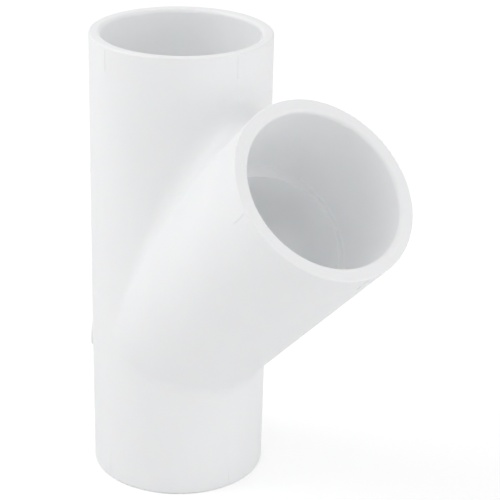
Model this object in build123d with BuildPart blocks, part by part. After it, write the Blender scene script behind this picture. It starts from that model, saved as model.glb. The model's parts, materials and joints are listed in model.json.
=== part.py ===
"""Lateral wye fitting for 2 in (60.3 mm) solvent-weld PVC pipe.

One injection moulding: a straight run, a branch that leaves it at 45 degrees, and a
pipe socket in each of the three ends. The run stands along +Z, the branch leans towards
+X, and the origin is the centre of the run's lower mouth.
"""

import os
from math import cos, radians, sin

from build123d import *

# ---- pipe and sockets, mm -------------------------------------------------
pipe_od = 60.325  # the pipe that is cemented into each socket
cement_gap = 0.3  # socket over pipe, on diameter
socket_depth = 40.5  # mouth to stop shoulder
shoulder_width = 2.0  # step that stops the pipe in the run
branch_shoulder_width = 2.2  # the same in the branch
stop_corner_radius = 0.3

# ---- the web between run and branch ---------------------------------------
web_land = 3.1  # how far the crotch side of the branch's bore is drawn in
web_nose_radius = 0.8  # rounding where the two bores meet

# ---- centres and ends -----------------------------------------------------
branch_angle = 45.0  # between the two axes, degrees
run_below = 59.2  # lower mouth to the crossing of the axes
run_above = 121.0  # crossing to the upper mouth
branch_length = 120.2  # crossing to the branch mouth

# ---- walls, drafted for the mould -----------------------------------------
lower_wall = 3.9  # round the socket, at the mouth
upper_wall = 4.5
branch_wall = 5.3
middle_wall = 6.3  # round the run's bore, at the crossing
root_step = 0.2  # how much slimmer than the run the branch starts, on diameter
junction_fillet = 9.0  # branch to run, all the way round
rim_outer_radius = 0.6
rim_inner_radius = 1.5

# ---- marks left by the mould ----------------------------------------------
tick_length = 8.0  # alignment ticks, a quarter turn apart round each mouth
tick_width = 0.7
tick_height = 0.12
tick_setback = 1.4  # mouth to tick
ticks_per_mouth = 4
gate_diameter = 9.0  # trimmed gate on the side of the run
gate_height = 0.4
gate_drop = 5.7  # below the crossing
gate_direction = 231.0  # round the run from the branch's side, degrees

# ---- worked out from the above --------------------------------------------
run_length = run_below + run_above
socket_radius = (pipe_od + cement_gap) / 2
run_bore_radius = socket_radius - shoulder_width
branch_bore_radius = socket_radius - branch_shoulder_width
branch_stop = branch_length - socket_depth
middle_radius = run_bore_radius + middle_wall
root_radius = middle_radius - root_step / 2
rim_share = 0.45  # a rim's rounding takes at most this much of its wall

tilt = radians(branch_angle)
side = Vector(0, 1, 0)
branch_way = Vector(sin(tilt), 0, cos(tilt))
crossing = Vector(0, 0, run_below)
gate_way = Vector(cos(radians(gate_direction)), sin(radians(gate_direction)), 0)

# Each end: centre of its mouth, the way out of it, and the wall round its socket.
ends = [
    (Vector(0, 0, 0), Vector(0, 0, -1), lower_wall),
    (Vector(0, 0, run_length), Vector(0, 0, 1), upper_wall),
    (crossing + branch_way * branch_length, branch_way, branch_wall),
]


def lengthwise(origin, way):
    """Plane through an axis, with its Y along the axis and its X across it."""
    return Plane(origin=origin, x_dir=way.cross(side), z_dir=side)


def across(origin, way):
    """Plane square to an axis, facing along it, with its X towards the crotch."""
    return Plane(origin=origin, x_dir=way.cross(side), z_dir=way)


def circles_round(part, centre):
    """The part's circular edges centred on a point, smallest first."""
    circles = part.edges().filter_by(GeomType.CIRCLE)
    return circles.filter_by(lambda e: (e.arc_center - centre).length < 0.01).sort_by(
        SortBy.RADIUS
    )


with BuildPart() as wye_body:
    # Outside of the run, widest at the upper mouth and narrowest at the lower one.
    with BuildSketch(Plane.XZ):
        with BuildLine():
            Polyline(
                (0, 0),
                (socket_radius + lower_wall, 0),
                (middle_radius, run_below),
                (socket_radius + upper_wall, run_length),
                (0, run_length),
                close=True,
            )
        make_face()
    revolve(axis=Axis.Z)

    # Outside of the branch, from the crossing to its mouth.
    with BuildSketch(lengthwise(crossing, branch_way)):
        with BuildLine():
            Polyline(
                (0, 0),
                (root_radius, 0),
                (socket_radius + branch_wall, branch_length),
                (0, branch_length),
                close=True,
            )
        make_face()
    revolve(axis=Axis(origin=crossing, direction=branch_way))

    # The branch blends into the run: broad in the crotch, tight under the heel.
    junction = wye_body.edges().filter_by(GeomType.BSPLINE)
    fillet(junction, junction_fillet)

    # The trimmed gate stands slightly proud of the run's wall.
    gate_centre = Vector(0, 0, run_below - gate_drop)
    with BuildSketch(Plane(origin=gate_centre, z_dir=gate_way)):
        Circle(gate_diameter / 2)
    extrude(amount=middle_radius + gate_height)

    # Waterways. The branch's is drawn in on the crotch side to thicken the web there.
    with BuildSketch(Plane.XY):
        Circle(run_bore_radius)
    extrude(amount=run_length, mode=Mode.SUBTRACT)

    with BuildSketch(across(crossing + branch_way * branch_stop, branch_way)):
        with BuildLine():
            CenterArc((0, 0), branch_bore_radius, 90, 180)
            EllipticalCenterArc(
                (0, 0), branch_bore_radius - web_land, branch_bore_radius, -90, arc_size=180
            )
        make_face()
    extrude(amount=-branch_stop, mode=Mode.SUBTRACT)

    # The web and the heel, where the two bores meet, are not left sharp.
    bore_meeting = wye_body.edges(Select.LAST).filter_by(GeomType.BSPLINE)
    fillet(bore_meeting, web_nose_radius)

    for mouth, way, wall in ends:
        # A socket down to its stop shoulder, with a small radius in the corner.
        stop = mouth - way * socket_depth
        with BuildSketch(across(mouth, way)):
            Circle(socket_radius)
        extrude(amount=-socket_depth, mode=Mode.SUBTRACT)
        fillet(circles_round(wye_body, stop)[-1], stop_corner_radius)

        # The mouth: a lead-in inside the rim and a smaller rounding outside it.
        lead_in = min(rim_inner_radius, wall * rim_share)
        fillet(circles_round(wye_body, mouth)[0], lead_in)
        fillet(circles_round(wye_body, mouth)[-1], min(rim_outer_radius, wall * rim_share))

    # Alignment ticks, raised on the wall just behind each mouth.
    for mouth, way, wall in ends:
        with BuildSketch(across(mouth - way * tick_setback, way)):
            with PolarLocations(socket_radius + wall, ticks_per_mouth):
                Rectangle(2 * tick_height, tick_width)
        extrude(amount=-tick_length)

wye_body.part.label = "wye_body"

os.makedirs("parts", exist_ok=True)
export_step(wye_body.part, "parts/wye_body.step")
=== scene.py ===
"""Lateral wye pipe fitting in white PVC, standing on a pale floor."""

import json
from math import cos, radians, sin
import bpy
from mathutils import Matrix, Vector


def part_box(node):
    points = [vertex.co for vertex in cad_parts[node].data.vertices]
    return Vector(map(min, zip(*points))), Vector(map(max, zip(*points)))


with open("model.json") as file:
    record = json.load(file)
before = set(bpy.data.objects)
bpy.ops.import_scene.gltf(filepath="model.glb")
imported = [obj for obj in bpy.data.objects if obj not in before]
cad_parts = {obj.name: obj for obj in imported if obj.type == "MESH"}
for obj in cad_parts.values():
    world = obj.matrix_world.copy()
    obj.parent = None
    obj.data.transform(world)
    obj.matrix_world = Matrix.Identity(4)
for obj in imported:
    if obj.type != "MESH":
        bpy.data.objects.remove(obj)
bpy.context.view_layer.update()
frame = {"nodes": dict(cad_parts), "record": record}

# ---------------------------------------------------------------------------
# The fitting: run, branch and three sockets in one piece.
# Rigid PVC, injection moulded in a polished steel tool round three drawn cores.
# Nothing is fixed to it: pipes are cemented into its sockets.
# ---------------------------------------------------------------------------
fitting = frame["nodes"]["wye_body"]


def linear(hex_colour):
    """Linear RGBA of an sRGB hex colour such as '#E9EBEC'."""
    parts = [int(hex_colour[i : i + 2], 16) / 255 for i in (1, 3, 5)]
    rgb = [p / 12.92 if p <= 0.04045 else ((p + 0.055) / 1.055) ** 2.4 for p in parts]
    return (*rgb, 1.0)


def add_node(tree, kind, settings=None, links=None):
    """Adds a node, sets its inputs or properties by name, and links others into it."""
    node = tree.nodes.new(kind)
    for name, value in (settings or {}).items():
        if isinstance(name, int) or name in node.inputs:
            node.inputs[name].default_value = value
        else:
            setattr(node, name, value)
    for name, source in (links or {}).items():
        tree.links.new(source, node.inputs[name])
    return node


def moulded_white_pvc():
    """Rigid PVC off a polished tool: a dense, slightly cool white with a satin sheen.

    Titanium white pigment hides nearly all depth, so the eye reads it as one calm colour,
    broken only by faint cloudy streaks where the melt flowed, and by a soft,
    shallow ripple that loosens the edges of its reflections.
    """
    material = bpy.data.materials.new("moulded_white_pvc")
    material.use_nodes = True
    tree = material.node_tree
    tree.nodes.clear()
    place = add_node(tree, "ShaderNodeTexCoord").outputs["Object"]

    # Flow clouding, about 30 mm across and drawn out along the run.
    flow_scale = 1 / 0.030
    stretched = add_node(
        tree, "ShaderNodeMapping", {"Scale": (1.0, 1.0, 0.35)}, {"Vector": place}
    )
    clouds = add_node(
        tree,
        "ShaderNodeTexNoise",
        {"Scale": flow_scale, "Detail": 4.0, "Roughness": 0.5},
        {"Vector": stretched.outputs["Vector"]},
    )
    colour = add_node(tree, "ShaderNodeValToRGB", links={"Fac": clouds.outputs["Fac"]})
    colour.color_ramp.elements[0].position = 0.35
    colour.color_ramp.elements[0].color = linear("#F4F5F6")
    colour.color_ramp.elements[1].position = 0.65
    colour.color_ramp.elements[1].color = linear("#F6F7F8")

    # Sheen varies a little where the tool was polished by hand, every 12 mm or so.
    polish_scale = 1 / 0.012
    polish = add_node(
        tree,
        "ShaderNodeTexNoise",
        {"Scale": polish_scale, "Detail": 3.0},
        {"Vector": place},
    )
    sheen = add_node(
        tree,
        "ShaderNodeMapRange",
        {"To Min": 0.28, "To Max": 0.40},
        {"Value": polish.outputs["Fac"]},
    )

    # Shallow ripple left by shrinkage, 5 mm from crest to crest and 0.02 mm deep.
    ripple_scale = 1 / 0.005
    ripple = add_node(
        tree,
        "ShaderNodeTexNoise",
        {"Scale": ripple_scale, "Detail": 2.0, "Roughness": 0.4},
        {"Vector": place},
    )
    relief = add_node(
        tree,
        "ShaderNodeBump",
        {"Strength": 0.35, "Distance": 0.00002},
        {"Height": ripple.outputs["Fac"]},
    )

    surface = add_node(
        tree,
        "ShaderNodeBsdfPrincipled",
        {"IOR": 1.53, "Subsurface Weight": 0.08, "Subsurface Scale": 0.002},
        {
            "Base Color": colour.outputs["Color"],
            "Roughness": sheen.outputs["Result"],
            "Normal": relief.outputs["Normal"],
        },
    )
    add_node(tree, "ShaderNodeOutputMaterial", links={"Surface": surface.outputs["BSDF"]})
    return material


fitting.data.materials.clear()
fitting.data.materials.append(moulded_white_pvc())

# ---------------------------------------------------------------------------
# The floor: a wide sheet of matt white card, which keeps the fitting's soft shadow.
# ---------------------------------------------------------------------------
low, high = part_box("wye_body")
floor_half_width = 3.0
floor_mesh = bpy.data.meshes.new("floor")
floor_mesh.from_pydata(
    [
        (x * floor_half_width, y * floor_half_width, low.z)
        for x, y in ((-1, -1), (1, -1), (1, 1), (-1, 1))
    ],
    [],
    [(0, 1, 2, 3)],
)
floor = bpy.data.objects.new("floor", floor_mesh)
bpy.context.scene.collection.objects.link(floor)


def matt_white_card():
    """Matt card, seen a little brighter than it is lit so that it meets the white around it."""
    material = bpy.data.materials.new("matt_white_card")
    material.use_nodes = True
    tree = material.node_tree
    tree.nodes.clear()
    card = add_node(
        tree,
        "ShaderNodeBsdfDiffuse",
        {"Color": linear("#F4F4F4"), "Roughness": 0.6},
    )
    rays = add_node(tree, "ShaderNodeLightPath")
    straight = add_node(
        tree,
        "ShaderNodeMath",
        {"operation": "MULTIPLY", 1: 0.26},
        {0: rays.outputs["Is Camera Ray"]},
    )
    lift = add_node(
        tree,
        "ShaderNodeEmission",
        {"Color": (1, 1, 1, 1)},
        {"Strength": straight.outputs["Value"]},
    )
    both = add_node(
        tree,
        "ShaderNodeAddShader",
        links={0: card.outputs["BSDF"], 1: lift.outputs["Emission"]},
    )
    add_node(tree, "ShaderNodeOutputMaterial", links={"Surface": both.outputs[0]})
    return material


floor_mesh.materials.append(matt_white_card())

# ---------------------------------------------------------------------------
# Studio light: a white tent all round, a broad softbox from the upper left and a
# low one from the right, under the branch's mouth.
# ---------------------------------------------------------------------------
world = bpy.data.worlds.new("white_tent")
bpy.context.scene.world = world
world.use_nodes = True
world.node_tree.nodes.clear()
tent_rays = add_node(world.node_tree, "ShaderNodeLightPath")
tent = add_node(
    world.node_tree,
    "ShaderNodeBackground",
    {"Color": linear("#FFFFFF"), "Strength": 0.76},
)
seen = add_node(
    world.node_tree,
    "ShaderNodeBackground",
    {"Color": linear("#FFFFFF"), "Strength": 1.0},
)
tent_or_seen = add_node(
    world.node_tree,
    "ShaderNodeMixShader",
    links={
        0: tent_rays.outputs["Is Camera Ray"],
        1: tent.outputs["Background"],
        2: seen.outputs["Background"],
    },
)
add_node(
    world.node_tree, "ShaderNodeOutputWorld", links={"Surface": tent_or_seen.outputs["Shader"]}
)

middle = (low + high) / 2


def softbox(name, azimuth, elevation, distance, width, watts):
    """A square area lamp that looks at the fitting from the given direction, in degrees."""
    lamp = bpy.data.lights.new(name, "AREA")
    lamp.size = width
    lamp.energy = watts
    holder = bpy.data.objects.new(name, lamp)
    bpy.context.scene.collection.objects.link(holder)
    a, e = radians(azimuth), radians(elevation)
    way = Vector((sin(a) * cos(e), -cos(a) * cos(e), sin(e)))
    holder.location = middle + way * distance
    holder.rotation_euler = way.to_track_quat("Z", "Y").to_euler()
    return holder


softbox("key_softbox", -42, 42, 1.2, 0.9, 3.8)
softbox("fill_softbox", 118, 1, 1.2, 0.9, 3.4)

# ---------------------------------------------------------------------------
# Wall glow: light that enters a white bore is passed on from wall to wall many times,
# so it is never dark in there. Three small soft lamps stand for the later bounces.
# ---------------------------------------------------------------------------
sockets = {mount["name"]: mount for mount in frame["record"]["mounts"]}
lean = Vector(sockets["branch_socket"]["axis"])
in_branch_socket = Vector(sockets["branch_socket"]["pos_m"])
in_upper_socket = Vector(sockets["upper_socket"]["pos_m"])
crossing = in_branch_socket - lean * (in_branch_socket.x / lean.x)  # the two axes meet
toward_back_wall = Vector((0.008, 0.009, 0.014))  # off the axes, to even out the far wall


def wall_glow(name, place, watts):
    """A point lamp 24 mm across that lights a bore but isn't seen or mirrored in it."""
    lamp = bpy.data.lights.new(name, "POINT")
    lamp.shadow_soft_size = 0.012
    lamp.energy = watts
    lamp.specular_factor = 0.0
    holder = bpy.data.objects.new(name, lamp)
    bpy.context.scene.collection.objects.link(holder)
    holder.location = place
    holder.visible_camera = False
    return holder


wall_glow("junction_glow", crossing + toward_back_wall, 0.0072)
wall_glow("branch_glow", in_branch_socket - lean * 0.012, 0.0020)
wall_glow("upper_glow", in_upper_socket - Vector((0, 0, 0.010)), 0.0014)

# ---------------------------------------------------------------------------
# The camera: a long lens, a little above the fitting and towards its branch side.
# ---------------------------------------------------------------------------
camera_data = bpy.data.cameras.new("camera")
camera_data.sensor_width = 36.0
camera_data.lens = 126.86
camera = bpy.data.objects.new("camera", camera_data)
bpy.context.scene.collection.objects.link(camera)

camera_azimuth = radians(50.94)
camera_elevation = radians(23.42)
camera_roll = radians(1.42)
camera_distance = 0.6942
aim_height = 0.0916  # height of the point it looks at
aim_aside = 0.02766  # to the right of the run's axis

back = Vector(
    (
        sin(camera_azimuth) * cos(camera_elevation),
        -cos(camera_azimuth) * cos(camera_elevation),
        sin(camera_elevation),
    )
)
right = Vector((cos(camera_azimuth), sin(camera_azimuth), 0))
up = back.cross(right)
rolled_right = right * cos(camera_roll) + up * sin(camera_roll)
rolled_up = up * cos(camera_roll) - right * sin(camera_roll)
turn = Matrix((rolled_right, rolled_up, back)).transposed()
aim = Vector((0, 0, aim_height)) + right * aim_aside
camera.matrix_world = Matrix.Translation(aim + back * camera_distance) @ turn.to_4x4()
bpy.context.scene.camera = camera

bpy.context.scene.view_settings.view_transform = "Standard"
